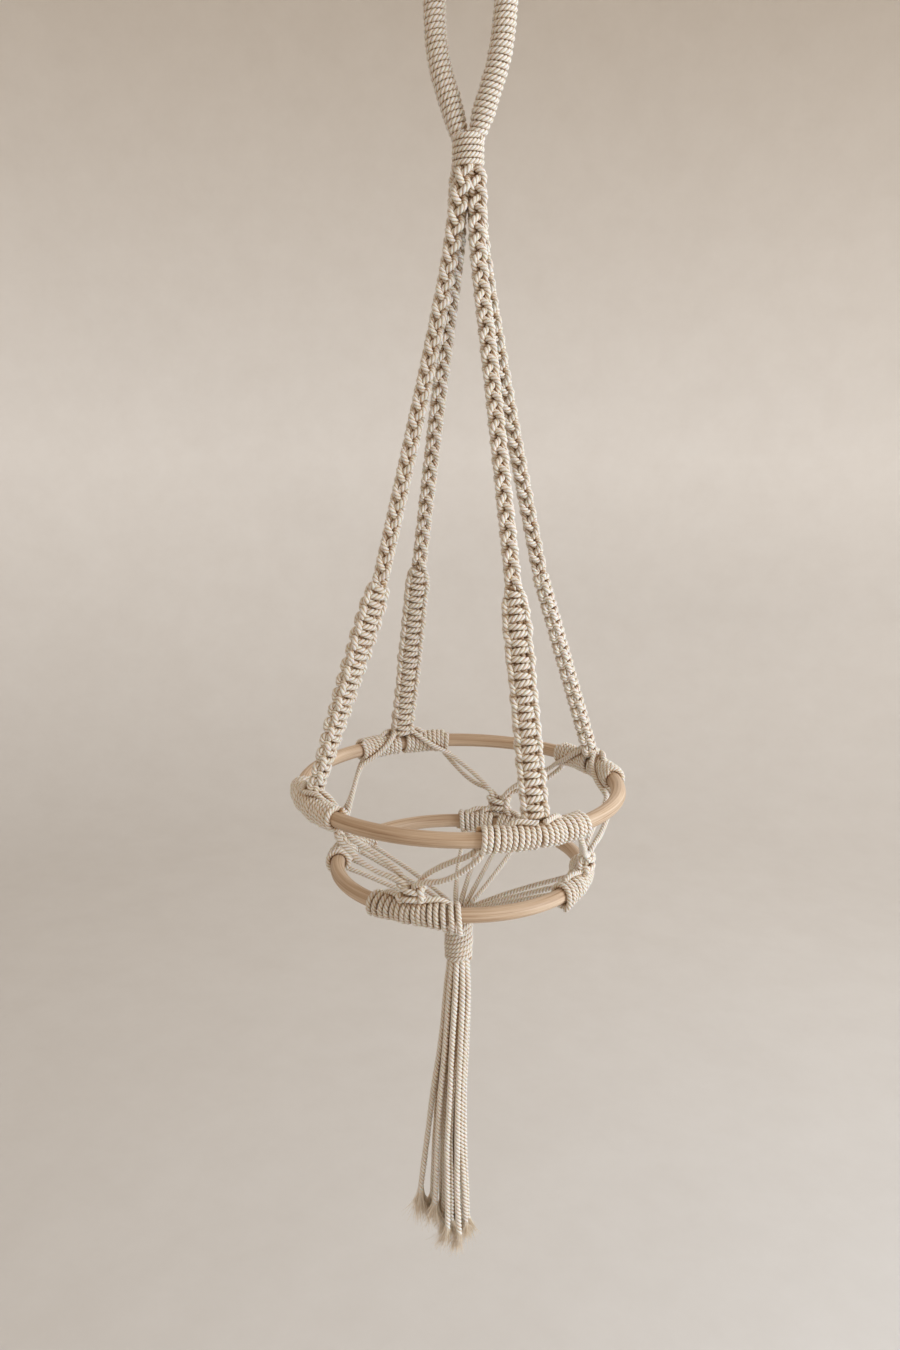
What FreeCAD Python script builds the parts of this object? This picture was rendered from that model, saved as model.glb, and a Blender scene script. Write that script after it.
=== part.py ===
"""Hanging macrame planter: a whipped loop, four knotted arms, two cane rings and a tassel.

The origin is the inside of the top of the hanging loop, where the hook bears, and +Z is up.
All sizes are in millimetres.
"""
import FreeCAD, Part
import math
import os

Vector = FreeCAD.Vector
UP = Vector(0, 0, 1)

os.makedirs("parts", exist_ok=True)
doc = FreeCAD.newDocument("macrame_planter")

# ---------------------------------------------------------------- driving dimensions

SIZES = {
    # cotton cord
    "cord_diameter": 4.6,           # lying loose, as in the tassel
    "packed_cord": 4.2,             # wound or hitched tight
    "turn_pitch": 3.95,             # from one turn of a wrap to the next
    "clearance": 0.3,               # left between neighbouring soft solids
    # hanging loop
    "loop_core_diameter": 7.0,
    "neck_top": -117.0,
    "neck_turns": 5,
    "bundle_radius": 7.1,           # sixteen cords squeezed into a wrap
    # arms
    "braid_diameter": 13.0,
    "ladder_top": -418.0,
    "ladder_width": 19.2,
    "ladder_thickness": 10.6,
    # rings, each a bent cane
    "cane_diameter": 11.0,
    "upper_ring_radius": 119.5,
    "upper_ring_height": -575.0,
    "upper_hitch_span": 41.0,
    "lower_ring_radius": 94.5,
    "lower_ring_height": -640.0,
    "lower_hitch_span": 42.0,
    # net between the rings
    "net_start_drop": 13.0,
    "knot_width": 17.0,
    "knot_thickness": 9.0,
    "knot_length": 12.5,
    # base and tassel
    "base_cord_start": 12.4,        # from the cane's centre line to a base cord's end
    "gather_height": -677.0,
    "gather_radius": 11.6,
    "tassel_wrap_top": -691.0,
    "tassel_wrap_turns": 7,
}

sheet = doc.addObject("Spreadsheet::Sheet", "sizes")
for row, (alias, number) in enumerate(SIZES.items(), start=1):
    sheet.set("A%d" % row, alias.replace("_", " "))
    sheet.set("B%d" % row, str(number))
    sheet.setAlias("B%d" % row, alias)
doc.recompute()


def size(alias):
    """A driving dimension, read from the sheet."""
    return float(sheet.get(alias))


# ---------------------------------------------------------------- cord routes

# Half of the hanging loop's centre line as (x, z), from the neck up to the top of the loop.
LOOP_HALF = [(9.4, -110.5), (13.6, -96.0), (22.3, -70.0), (25.3, -38.0), (25.0, -10.4), (18.3, 1.2),
             (6.7, 7.9)]

# Centre line of a braid as (distance from the axis, degrees round it, z), from the neck down to
# the ladder. The arms lean to one side, most at the neck, because it hangs turned over the rings.
BRAID_LINE = [(9.5, 46, -139.0), (10.6, 24, -161.0), (14.5, 8, -193.0), (36.0, 8, -290.0),
              (68.0, 5, -417.0)]

# The tassel as (lean, z, spread, stray). Lean is how far the bundle hangs to the side at LEAN_SIDE
# degrees, spread multiplies each cord's place in the bundle, and stray is how much further to that
# side a cord that hangs apart from the others goes.
LEAN_SIDE = 200
TASSEL_LINE = [(0.0, -720.0, 1.00, 0.0), (0.6, -750.0, 1.00, 0.0), (2.5, -794.0, 1.07, 0.9),
               (5.0, -838.0, 1.15, 3.0), (5.6, -884.0, 1.22, 6.0), (4.0, -926.0, 1.32, 11.0)]

# Places of the sixteen cords in the bundle as (distance from the middle, angle), how far below the
# last point of the tassel's line each cord ends, and the share of the stray that some cords take.
TASSEL_PLACES = [(0.0, 0)] + [(4.75, 72 * k + 10) for k in range(5)] + [(9.35, 36 * k + 28) for k in range(10)]
TASSEL_TAILS = [34.0, 30.0, 36.0, 33.0, 38.0, 31.0, 35.0, 37.0, 28.0, 30.0, 16.0, 8.0, 14.0, 31.0, 37.0, 34.0]
STRAY_SHARES = {11: 0.35, 12: 1.0, 13: 0.55}
TIP_FLARE = 0.006                   # how much the spread grows for each millimetre of tail


def rounded_wire(points):
    """Straight runs joined by tangent arcs as large as their runs allow, and the least radius."""
    edges = []
    least = 1e9
    start = points[0]
    for before, corner, after in zip(points, points[1:], points[2:]):
        run_in = corner - before
        run_out = after - corner
        half_turn = run_in.getAngle(run_out) / 2
        reach = 0.45 * min(run_in.Length, run_out.Length)
        least = min(least, reach / math.tan(half_turn))
        arc_in = corner - run_in.normalize() * reach
        arc_out = corner + run_out.normalize() * reach
        chord_middle = (arc_in + arc_out) * 0.5
        towards = (chord_middle - corner).normalize()
        radius = reach / math.tan(half_turn)
        arc_middle = corner + towards * (radius / math.cos(half_turn) - radius)
        edges.append(Part.LineSegment(start, arc_in).toShape())
        edges.append(Part.Arc(arc_in, arc_middle, arc_out).toShape())
        start = arc_out
    edges.append(Part.LineSegment(start, points[-1]).toShape())
    return Part.Wire(edges), least


def tube(points, diameter, name=None):
    """A round solid along a route; its volume is compared with its section times its length."""
    if len(points) == 2:
        wire, least = Part.Wire([Part.LineSegment(points[0], points[1]).toShape()]), 0
    else:
        wire, least = rounded_wire(points)
    end = Part.Wire([Part.Circle(points[0], points[1] - points[0], diameter / 2).toShape()])
    solid = wire.makePipeShell([end], True, False)
    expected = math.pi * diameter ** 2 / 4 * wire.Length
    if abs(solid.Volume / expected - 1) > 0.01:
        print("volume differs from section times length:", name, solid.Volume / expected)
    if name:
        print("%-18s length %.1f least radius %.1f" % (name, wire.Length, least))
    return solid


def polar(radius, degrees, height):
    """A point at a distance and an angle round the vertical axis."""
    angle = math.radians(degrees)
    return Vector(radius * math.cos(angle), radius * math.sin(angle), height)


# ---------------------------------------------------------------- ways to make a sub-part

PIECES = []


def keep(feature, label):
    """Give a finished sub-part its label and list it for export."""
    feature.Label = label
    PIECES.append(feature)
    return feature


def shaped(label, solids):
    """A Part::Feature that holds one solid or a group of separate solids."""
    feature = doc.addObject("Part::Feature", label)
    feature.Shape = solids[0] if len(solids) == 1 else Part.makeCompound(solids)
    return keep(feature, label)


def origin_plane(body, role):
    """One of a body's own origin planes, found by its role."""
    return next(item for item in body.Origin.OriginFeatures if item.Role == role)


def sketch_on(body, role, name):
    """A sketch attached to one of a body's origin planes."""
    sketch = body.newObject("Sketcher::SketchObject", name)
    sketch.AttachmentSupport = [(origin_plane(body, role), "")]
    sketch.MapMode = "FlatFace"
    return sketch


def ring_section(label, circle_sizes, ring_radius, sweep):
    """Concentric circles beside the axis, revolved round it: a cane ring or a sleeve on one."""
    import Sketcher
    body = doc.addObject("PartDesign::Body", label)
    sketch = sketch_on(body, "XZ_Plane", label + "_section")
    for number, expression in enumerate(circle_sizes):
        circle = Part.Circle(Vector(size(ring_radius), 0, 0), UP, 5.0 + 3.0 * number)
        index = sketch.addGeometry(circle, False)
        sketch.addConstraint(Sketcher.Constraint("PointOnObject", index, 3, -1))
        place = sketch.addConstraint(Sketcher.Constraint("DistanceX", -1, 1, index, 3, size(ring_radius)))
        sketch.setExpression("Constraints[%d]" % place, "sizes.%s" % ring_radius)
        width = sketch.addConstraint(Sketcher.Constraint("Radius", index, 5.0 + 3.0 * number))
        sketch.setExpression("Constraints[%d]" % width, expression)
    revolution = body.newObject("PartDesign::Revolution", label + "_revolution")
    revolution.Profile = sketch
    revolution.ReferenceAxis = (sketch, ["V_Axis"])
    revolution.setExpression("Angle", sweep)
    return keep(body, label)


def strap(label, width, thickness, length):
    """A flat band with round edges, standing on the XY plane: a ladder or a single knot."""
    import Sketcher
    body = doc.addObject("PartDesign::Body", label)
    sketch = sketch_on(body, "XY_Plane", label + "_section")
    half = (size(width) - size(thickness)) / 2
    edge = size(thickness) / 2
    front = sketch.addGeometry(Part.LineSegment(Vector(-half, -edge, 0), Vector(half, -edge, 0)), False)
    right = sketch.addGeometry(Part.ArcOfCircle(Part.Circle(Vector(half, 0, 0), UP, edge),
                                                -math.pi / 2, math.pi / 2), False)
    back = sketch.addGeometry(Part.LineSegment(Vector(half, edge, 0), Vector(-half, edge, 0)), False)
    left = sketch.addGeometry(Part.ArcOfCircle(Part.Circle(Vector(-half, 0, 0), UP, edge),
                                               math.pi / 2, 3 * math.pi / 2), False)
    for first, first_end, second, second_end in ((front, 2, right, 1), (right, 2, back, 1),
                                                 (back, 2, left, 1), (left, 2, front, 1)):
        sketch.addConstraint(Sketcher.Constraint("Tangent", first, first_end, second, second_end))
    sketch.addConstraint(Sketcher.Constraint("Horizontal", front))
    sketch.addConstraint(Sketcher.Constraint("Symmetric", right, 3, left, 3, -1, 1))
    round_edge = sketch.addConstraint(Sketcher.Constraint("Radius", right, edge))
    sketch.setExpression("Constraints[%d]" % round_edge, "sizes.%s / 2" % thickness)
    flat = sketch.addConstraint(Sketcher.Constraint("DistanceX", left, 3, right, 3, 2 * half))
    sketch.setExpression("Constraints[%d]" % flat, "sizes.%s - sizes.%s" % (width, thickness))
    pad = body.newObject("PartDesign::Pad", label + "_pad")
    pad.Profile = sketch
    pad.setExpression("Length", length)
    return keep(body, label)


def wrap(label, top, turns):
    """Close turns of cord round a bundle, one ring for each turn, joined where they touch."""
    rings = []
    for number in range(int(size(turns))):
        ring = doc.addObject("Part::Torus", "%s_turn_%d" % (label, number + 1))
        ring.setExpression("Radius1", "sizes.bundle_radius + sizes.packed_cord / 2")
        ring.setExpression("Radius2", "sizes.packed_cord / 2")
        ring.setExpression("Placement.Base.z", "sizes.%s - sizes.packed_cord / 2 - %d * sizes.turn_pitch"
                           % (top, number))
        rings.append(ring)
    joined = doc.addObject("Part::MultiFuse", label)
    joined.Shapes = rings
    return keep(joined, label)


# ---------------------------------------------------------------- hanging loop and neck

loop_right = [Vector(across, 0, height) for across, height in LOOP_HALF]
loop_left = [Vector(-point.x, 0, point.z) for point in reversed(loop_right)]
loop_route = loop_right + loop_left

core_diameter = size("loop_core_diameter")
whipped_diameter = core_diameter + 2 * (size("packed_cord") + 0.2)
shaped("loop_core", [tube(loop_route, core_diameter, "loop_core")])
whipping = tube(loop_route, whipped_diameter).cut(tube(loop_route, core_diameter + 0.1))
shaped("loop_whipping", whipping.Solids)

wrap("neck_wrap", "neck_top", "neck_turns")

neck_bundle = doc.addObject("Part::Cylinder", "neck_bundle")
neck_bundle.setExpression("Radius", "sizes.bundle_radius - 0.1")
neck_bundle.setExpression("Height", "sizes.neck_turns * sizes.turn_pitch + 3.6")
neck_bundle.setExpression("Placement.Base.z",
                          "sizes.neck_top - sizes.neck_turns * sizes.turn_pitch - 0.6")
keep(neck_bundle, "neck_bundle")

# ---------------------------------------------------------------- arms

# Where each arm stands round the axis, and how far its ladder is turned from facing outwards.
ARMS = [("front_right", -45, -20.0), ("back_right", 45, -32.0), ("back_left", 135, -15.0),
        ("front_left", 225, -50.0)]

braid_end, braid_lean, braid_foot = BRAID_LINE[-1]
ladder_top = polar(braid_end + 0.3, braid_lean, size("ladder_top"))
ring_centre = Vector(size("upper_ring_radius"), 0, size("upper_ring_height"))
ladder_line = ring_centre - ladder_top
hitch_radius = size("cane_diameter") / 2 + size("packed_cord")
ladder_end = hitch_radius + 3 * size("clearance")
sheet_row = len(SIZES) + 1
sheet.set("A%d" % sheet_row, "ladder length")
sheet.set("B%d" % sheet_row, "%.3f" % (ladder_line.Length - ladder_end))
sheet.setAlias("B%d" % sheet_row, "ladder_length")
doc.recompute()

for name, degrees, twist in ARMS:
    route = [polar(out, degrees + lean, height) for out, lean, height in BRAID_LINE]
    shaped(name + "_braid", [tube(route, size("braid_diameter"), name + "_braid")])

    ladder = strap(name + "_ladder", "ladder_width", "ladder_thickness", "sizes.ladder_length")
    foot = ring_centre - ladder_line * (ladder_end / ladder_line.Length)
    upwards = FreeCAD.Rotation(UP, ladder_line * -1)
    facing = FreeCAD.Rotation(UP, degrees)
    turned = FreeCAD.Rotation(UP, 90 + twist)
    ladder.Placement = FreeCAD.Placement(facing.multVec(foot), facing.multiply(upwards).multiply(turned))

# ---------------------------------------------------------------- rings and their hitches

upper_ring = ring_section("upper_ring", ["sizes.cane_diameter / 2"], "upper_ring_radius", "360")
upper_ring.Placement.Base = Vector(0, 0, size("upper_ring_height"))
lower_ring = ring_section("lower_ring", ["sizes.cane_diameter / 2"], "lower_ring_radius", "360")
lower_ring.Placement.Base = Vector(0, 0, size("lower_ring_height"))

SLEEVE = ["sizes.cane_diameter / 2 + 0.1", "sizes.cane_diameter / 2 + sizes.packed_cord"]


def hitches(label, ring_radius, height, span, degrees):
    """The close turns that lash cords to a ring, as one sleeve centred on an angle."""
    sleeve = ring_section(label, SLEEVE, ring_radius, "sizes." + span)
    turn = FreeCAD.Rotation(UP, degrees - size(span) / 2)
    sleeve.Placement = FreeCAD.Placement(Vector(0, 0, size(height)), turn)


SIDES = [("front", -90), ("right", 0), ("back", 90), ("left", 180)]

for name, degrees, twist in ARMS:
    hitches(name + "_hitches", "upper_ring_radius", "upper_ring_height", "upper_hitch_span", degrees)
for name, degrees in SIDES:
    hitches(name + "_hitches", "lower_ring_radius", "lower_ring_height", "lower_hitch_span", degrees)

# ---------------------------------------------------------------- net between the rings

knot_foot = size("lower_ring_height") + hitch_radius + 0.5
knot_top = knot_foot + size("knot_length")
knot_radius = size("lower_ring_radius") + 5.5
net_top = size("upper_ring_height") - size("net_start_drop")

for name, degrees in SIDES:
    knot = strap(name + "_knot", "knot_width", "knot_thickness", "sizes.knot_length")
    knot.Placement = FreeCAD.Placement(polar(knot_radius, degrees, knot_foot),
                                       FreeCAD.Rotation(UP, degrees + 90))
    sideways = polar(1, degrees + 90, 0)
    for direction in (-1, 1):
        pair = []
        for layer in (-1, 1):
            start_angle = degrees + direction * (24.5 + 1.4 * layer)
            start = polar(size("upper_ring_radius") - 2.0 + 3.2 * layer, start_angle, net_top)
            aside = sideways * (direction * 3.1)
            finish = polar(knot_radius + 2.6 * layer, degrees, knot_top + 2.2) + aside
            pair.append(tube([start, finish], size("packed_cord")))
        handed = "left" if direction < 0 else "right"
        shaped("net_pair_%s_%s" % (name, handed), pair)

# ---------------------------------------------------------------- base cords and gather

base_slope = math.radians(35)
base_start = size("base_cord_start")
start_radius = size("lower_ring_radius") - base_start * math.cos(base_slope)
start_height = size("lower_ring_height") - base_start * math.sin(base_slope)

for name, degrees in SIDES:
    group = []
    for step in (-1.5, -0.5, 0.5, 1.5):
        start = polar(start_radius, degrees + 11 * step, start_height)
        finish = polar(size("gather_radius"), degrees + 22.5 * step, size("gather_height"))
        group.append(tube([start, finish], size("packed_cord")))
    shaped(name + "_base_cords", group)

gather = doc.addObject("Part::Cylinder", "gather_bundle")
gather.setExpression("Radius", "sizes.bundle_radius - 0.1")
gather.setExpression("Height",
                     "sizes.tassel_wrap_turns * sizes.turn_pitch + sizes.gather_height - sizes.tassel_wrap_top")
gather.setExpression("Placement.Base.z",
                     "sizes.tassel_wrap_top - sizes.tassel_wrap_turns * sizes.turn_pitch")
keep(gather, "gather_bundle")

# ---------------------------------------------------------------- tassel

wrap("tassel_wrap", "tassel_wrap_top", "tassel_wrap_turns")

last_lean, last_height, last_spread, last_stray = TASSEL_LINE[-1]
for number, ((distance, degrees), tail) in enumerate(zip(TASSEL_PLACES, TASSEL_TAILS), start=1):
    share = STRAY_SHARES.get(number, 0.0)
    route = []
    for lean, height, spread, stray in TASSEL_LINE:
        aside = polar(lean + stray * share, LEAN_SIDE, 0)
        route.append(polar(distance * spread, degrees, height) + aside)
    tip = polar(distance * (last_spread + TIP_FLARE * tail), degrees, last_height - tail)
    route.append(tip + polar(last_lean + last_stray * share, LEAN_SIDE, 0))
    name = "tassel_cord_%02d" % number
    shaped(name, [tube(route, size("cord_diameter"), name)])

# ---------------------------------------------------------------- checks and export

doc.recompute()
faults = []
for item in doc.Objects:
    if "Invalid" in item.State or "Error" in item.State:
        faults.append("%s: %s" % (item.Label, item.State))
for piece in PIECES:
    if piece.Shape.isNull() or not piece.Shape.isValid() or piece.Shape.Volume <= 0:
        faults.append("%s: bad shape" % piece.Label)
if faults:
    raise SystemExit("\n".join(faults))
for piece in PIECES:
    piece.Shape.exportStep("parts/%s.step" % piece.Label)
print(len(PIECES), "sub-parts written")
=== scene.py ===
import math

import bpy
import numpy as np
from mathutils import Matrix, Vector


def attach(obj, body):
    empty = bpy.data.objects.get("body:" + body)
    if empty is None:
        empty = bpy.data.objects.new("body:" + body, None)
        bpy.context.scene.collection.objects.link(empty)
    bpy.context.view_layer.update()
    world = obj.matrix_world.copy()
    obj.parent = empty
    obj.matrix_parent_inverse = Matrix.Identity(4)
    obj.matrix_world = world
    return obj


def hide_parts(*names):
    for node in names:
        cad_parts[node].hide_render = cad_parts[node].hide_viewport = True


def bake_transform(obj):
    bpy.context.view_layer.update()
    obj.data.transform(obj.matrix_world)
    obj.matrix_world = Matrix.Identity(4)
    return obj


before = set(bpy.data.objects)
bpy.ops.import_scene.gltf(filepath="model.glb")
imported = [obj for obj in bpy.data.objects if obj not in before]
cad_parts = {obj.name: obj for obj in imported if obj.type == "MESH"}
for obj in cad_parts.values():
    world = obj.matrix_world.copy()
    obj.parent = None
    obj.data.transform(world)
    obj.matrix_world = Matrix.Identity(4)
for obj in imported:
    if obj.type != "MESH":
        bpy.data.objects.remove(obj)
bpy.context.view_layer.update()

chance = np.random.default_rng(7)

# ---------------------------------------------------------------- sizes, in metres

CORD = 0.0046                      # the twisted cotton cord, lying loose
PACKED = 0.0042                    # the same cord wound or knotted tight
PLIES = 3
LAY = 1.90                         # cord diameters in one full turn of the plies
STEP = 0.0010                      # from one ring of vertices to the next along a cord

LOOP_CORE = 0.0037                 # radius of the bundle inside the hanging loop
BUNDLE = 0.0071                    # radius of sixteen cords squeezed into a wrap
CANE = 0.0055                      # radius of the cane that the rings are bent from
UPPER_RADIUS, UPPER_HEIGHT = 0.1195, -0.575
LOWER_RADIUS, LOWER_HEIGHT = 0.0945, -0.640
WOUND = CANE + PACKED / 2          # from the cane's centre line to that of a cord wound on it

# Each arm: its angle round the axis, and how far its ladder's top and foot turn from outwards.
ARMS = [("front_right", -45, -24, -18), ("back_right", 45, -34, -30), ("back_left", 135, -18, -12),
        ("front_left", 225, 88, 150)]
SIDES = [("front", -90), ("right", 0), ("back", 90), ("left", 180)]


def polar(radius, degrees, height):
    """A point at a distance and an angle round the vertical axis."""
    angle = math.radians(degrees)
    return np.array([radius * math.cos(angle), radius * math.sin(angle), height])


def turned(points, degrees):
    """Points turned round the vertical axis."""
    angle = math.radians(degrees)
    turn = np.array([[math.cos(angle), -math.sin(angle), 0],
                     [math.sin(angle), math.cos(angle), 0],
                     [0, 0, 1]])
    return points @ turn.T


# ---------------------------------------------------------------- camera

CAMERA_AZIMUTH = math.radians(20)
CAMERA_PITCH = math.radians(12.7)
CAMERA_ROLL = math.radians(0.55)
CAMERA_DISTANCE = 0.800
CAMERA_ASIDE = -0.0088
CAMERA_HEIGHT = -0.310
SENSOR = 36.0
FOCAL_SHARE = 1096 / 1350           # focal length over the picture's long side


def add_camera():
    """The camera: near the object, a little above the rings and level with the middle of the arms."""
    right = np.array([math.cos(CAMERA_AZIMUTH), math.sin(CAMERA_AZIMUTH), 0.0])
    ahead = np.array([-math.sin(CAMERA_AZIMUTH), math.cos(CAMERA_AZIMUTH), 0.0])
    up = np.array([0.0, 0.0, 1.0])
    place = -ahead * CAMERA_DISTANCE + right * CAMERA_ASIDE + up * CAMERA_HEIGHT
    forward = ahead * math.cos(CAMERA_PITCH) - up * math.sin(CAMERA_PITCH)
    level_up = ahead * math.sin(CAMERA_PITCH) + up * math.cos(CAMERA_PITCH)
    rolled_right = right * math.cos(CAMERA_ROLL) + level_up * math.sin(CAMERA_ROLL)
    rolled_up = level_up * math.cos(CAMERA_ROLL) - right * math.sin(CAMERA_ROLL)
    data = bpy.data.cameras.new("camera")
    data.sensor_width = SENSOR
    data.lens = SENSOR * FOCAL_SHARE
    camera = bpy.data.objects.new("camera", data)
    bpy.context.scene.collection.objects.link(camera)
    turn = Matrix([rolled_right, rolled_up, -forward]).transposed()
    camera.matrix_world = Matrix.Translation(Vector(place)) @ turn.to_4x4()
    bpy.context.scene.camera = camera


add_camera()

# ---------------------------------------------------------------- lines


def route_line(points, samples=24):
    """A smooth line that starts and ends at a route's ends and rounds its other points."""
    points = [np.asarray(point, float) for point in points]
    share = np.linspace(0, 1, samples, endpoint=False)[:, None]
    line = []
    for index in range(1, len(points) - 1):
        first = index == 1
        last = index == len(points) - 2
        start = points[0] if first else (points[index - 1] + points[index]) / 2
        bend = points[index]
        finish = points[-1] if last else (points[index] + points[index + 1]) / 2
        line.append((1 - share) ** 2 * start + 2 * share * (1 - share) * bend + share ** 2 * finish)
    return np.vstack(line + [points[-1][None]])


def lengths_along(line):
    """The distance along a line to each of its points."""
    return np.concatenate([[0.0], np.cumsum(np.linalg.norm(np.diff(line, axis=0), axis=1))])


def sampled(values, along, lengths):
    """Rows of three values that are known at some distances, read at other distances."""
    return np.stack([np.interp(lengths, along, values[:, axis]) for axis in range(3)], axis=1)


def at_lengths(line, lengths):
    """The points of a line at given distances along it."""
    return sampled(line, lengths_along(line), lengths)


def evenly(line, step=STEP):
    """The same line with evenly spaced points."""
    whole = lengths_along(line)[-1]
    return at_lengths(line, np.linspace(0, whole, max(3, int(round(whole / step)) + 1)))


def unit(vectors):
    """Vectors of length one that point the same ways."""
    return vectors / np.linalg.norm(vectors, axis=-1, keepdims=True)


def side_vectors(line, first=None):
    """Two side vectors for each point of a line, carried along it without twist."""
    tangents = unit(np.gradient(line, axis=0))
    if first is None:
        first = np.eye(3)[np.argmin(np.abs(tangents[0]))]
    normal = np.asarray(first, float)
    normals = np.empty_like(line)
    for index, tangent in enumerate(tangents):
        normal = normal - tangent * (normal @ tangent)
        normal = normal / math.sqrt(normal @ normal)
        normals[index] = normal
    return normals, np.cross(tangents, normals)


# ---------------------------------------------------------------- cord meshes

PLY_STEPS = 6                      # vertices across one ply
PLY_ANGLE = 2 * math.pi / PLIES
RING = PLIES * PLY_STEPS
RING_ANGLES = np.arange(RING) * 2 * math.pi / RING
GROOVE = 0.28                      # how deep the grooves between the plies are, over the radius
ROUNDNESS = 0.75                   # below 1, a ply's crown is broad and its grooves are narrow
SWELL = 0.035                      # how much a cord's thickness varies, as a share
SWELL_STEP = 0.008                 # from one thick or thin place to the next
FIBRE_TAPER = 0.75                 # how much of its thickness a fibre loses by its tip
FIBRE_CROWN = 0.8                  # a fibre gets almost no painted groove shade: it is nearly as pale as the crown of a ply

# Height over the grooves, round a section: 1 on the crown of a ply and 0 in a groove. The cotton's painted
# groove shade is laid on by it.
CROWN = np.abs(np.cos(PLIES / 2 * ((RING_ANGLES + PLY_ANGLE / 2) % PLY_ANGLE - PLY_ANGLE / 2))) ** ROUNDNESS


class Cordage:
    """The vertices, faces and attributes of one piece, gathered cord by cord.

    Along is a vertex's place across its cord and its distance along it, crown is its height over the
    grooves between the plies, and tint is one value for the whole cord.
    """

    def __init__(self):
        self.places = []
        self.loops = []
        self.totals = []
        self.along = []
        self.crown = []
        self.tint = []
        self.count = 0

    def add(self, places, faces, along, crown, tint):
        """Adds vertices and their attributes, and blocks of faces numbered from the first of them."""
        self.places.append(places)
        for block in faces:
            self.loops.append((block + self.count).ravel())
            self.totals.append(np.full(len(block), block.shape[1]))
        self.along.append(along)
        self.crown.append(crown)
        self.tint.append(np.full(len(places), tint))
        self.count += len(places)

    def tube(self, line, normals, sides, across, beside, crown, tint):
        """A closed tube round a line. Across and beside place each section's points."""
        rings, section = across.shape
        places = line[:, None] + across[..., None] * normals[:, None] + beside[..., None] * sides[:, None]
        index = np.arange(rings * section).reshape(rings, section)
        around = np.roll(index, -1, axis=1)
        quads = np.stack([index[:-1], around[:-1], around[1:], index[1:]], axis=-1).reshape(-1, 4)
        ends = [index[0][::-1][None, :], index[-1][None, :]]
        reach = np.broadcast_to(lengths_along(line)[:, None], across.shape)
        along = np.stack([across, beside, reach], axis=-1)
        self.add(places.reshape(-1, 3), [quads] + ends, along.reshape(-1, 3), np.tile(crown, rings), tint)

    def cord(self, line, diameter=PACKED, lay=LAY, groove=GROOVE):
        """A twisted cord along a line: three plies laid left-handed, as real relief."""
        line = evenly(line)
        normals, sides = side_vectors(line)
        reach = lengths_along(line)
        twist = -2 * math.pi * reach / (lay * diameter) + chance.uniform(0, 2 * math.pi)
        angles = RING_ANGLES[None, :] + twist[:, None]
        marks = np.arange(0, reach[-1] + 2.5 * SWELL_STEP, SWELL_STEP)
        bulges = chance.normal(size=int(reach[-1] / SWELL_STEP) + 4)[:len(marks)]
        swell = 1 + SWELL * np.interp(reach, marks, bulges)
        radius = diameter / 2 * (1 - groove + groove * CROWN)[None, :] * swell[:, None]
        self.tube(line, normals, sides, radius * np.cos(angles), radius * np.sin(angles), CROWN,
                  chance.uniform())

    def fibre(self, line, radius, tint):
        """One thin tapering fibre with a triangular section."""
        normals, sides = side_vectors(line)
        thick = radius * (1 - FIBRE_TAPER * np.linspace(0, 1, len(line)) ** 2)[:, None]
        angles = np.arange(3) * 2 * math.pi / 3
        self.tube(line, normals, sides, thick * np.cos(angles), thick * np.sin(angles),
                  np.full(3, FIBRE_CROWN), tint)

    def piece(self, name, material):
        """The gathered mesh as one object with smooth shading and its material."""
        mesh = bpy.data.meshes.new(name)
        loops = np.concatenate(self.loops)
        totals = np.concatenate(self.totals)
        mesh.vertices.add(self.count)
        mesh.vertices.foreach_set("co", np.concatenate(self.places).astype(np.float32).ravel())
        mesh.loops.add(len(loops))
        mesh.loops.foreach_set("vertex_index", loops.astype(np.int32))
        mesh.polygons.add(len(totals))
        mesh.polygons.foreach_set("loop_start", (np.cumsum(totals) - totals).astype(np.int32))
        mesh.update(calc_edges=True)
        mesh.polygons.foreach_set("use_smooth", np.ones(len(totals), bool))
        attributes = (("along", "FLOAT_VECTOR", "vector", self.along),
                      ("crown", "FLOAT", "value", self.crown),
                      ("tint", "FLOAT", "value", self.tint))
        for label, kind, field, values in attributes:
            store = mesh.attributes.new(label, kind, "POINT")
            store.data.foreach_set(field, np.concatenate(values).astype(np.float32).ravel())
        mesh.materials.append(material)
        piece = bpy.data.objects.new(name, mesh)
        bpy.context.scene.collection.objects.link(piece)
        return piece


AXIS_STEP = 0.002                  # from one point to the next of the line that a coil goes round
PINCH_LENGTH = 0.018               # the stretch at each end of a coil that pinch draws in


def coil_line(line, radius, pitch, first_side, wobble=0.0, pinch=0.0):
    """A helix round a line, with one turn in each pitch. Pinch draws it in towards its two ends."""
    line = evenly(line, AXIS_STEP)
    normals, sides = side_vectors(line, first_side)
    along = lengths_along(line)
    whole = along[-1]
    turns = whole / pitch
    reach = np.linspace(0, whole, int(turns * 2 * math.pi * radius / STEP))
    angles = 2 * math.pi * reach / pitch
    centre = sampled(line, along, reach)
    normal = unit(sampled(normals, along, reach))
    side = unit(sampled(sides, along, reach))
    knots = np.arange(0, turns + 2) * pitch
    wide = radius + wobble * np.interp(reach, knots, chance.normal(size=len(knots)))
    from_end = np.minimum(reach, whole - reach)
    wide = wide * (1 - pinch * np.clip(1 - from_end / PINCH_LENGTH, 0, 1) ** 1.5)
    return centre + wide[:, None] * (np.cos(angles)[:, None] * normal + np.sin(angles)[:, None] * side)


# ---------------------------------------------------------------- materials


def node(tree, kind, **values):
    """A shader node with some of its sockets set."""
    made = tree.nodes.new(kind)
    for name, value in values.items():
        if name in made.inputs:
            made.inputs[name].default_value = value
        else:
            setattr(made, name, value)
    return made


def new_material(name):
    """An empty node material and its main shader."""
    material = bpy.data.materials.new(name)
    material.use_nodes = True
    tree = material.node_tree
    shader = tree.nodes["Principled BSDF"]
    return material, tree, shader


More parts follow.
